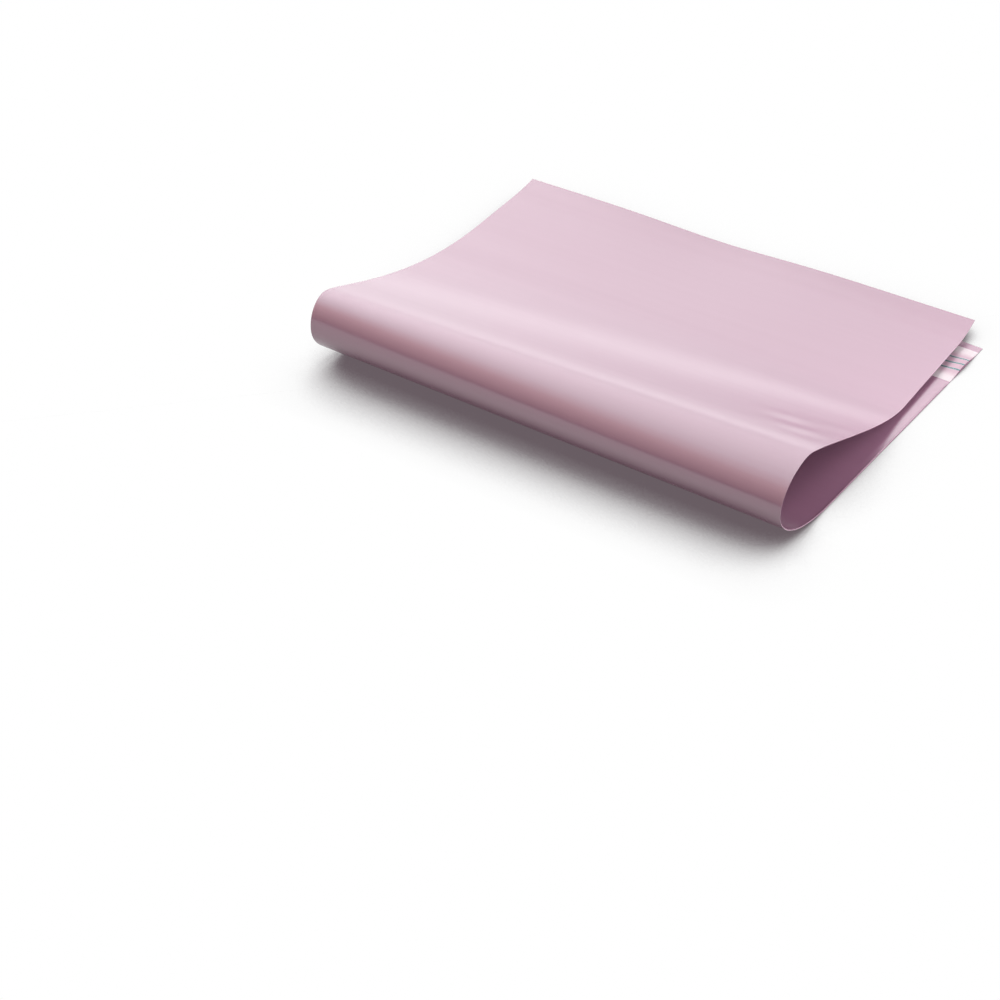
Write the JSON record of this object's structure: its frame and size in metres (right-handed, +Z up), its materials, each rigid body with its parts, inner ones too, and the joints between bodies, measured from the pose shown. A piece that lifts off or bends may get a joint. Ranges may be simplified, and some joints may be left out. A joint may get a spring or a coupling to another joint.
{
  "type": "poly mailer bag",
  "caption": "Empty mailing bag of glossy mauve film with a peel-and-seal lip, folded in half so that an open loop stays at the fold.",
  "frame": {"origin": "under the middle of the folded bag, on the surface that it lies on", "axes": "+X across the bag's width, +Y from the loop towards the lip, +Z up"},
  "size_m": [0.2906, 0.2296, 0.0441],
  "materials": {
    "film": "soft gloss blown film",
    "adhesive": "tacky hot-melt",
    "liner": "clear film with three thin printed lines"
  },
  "bodies": {
    "root": {"bag_film": "film", "adhesive_strip": "adhesive", "release_liner": "liner"}
  },
  "joints": []
}
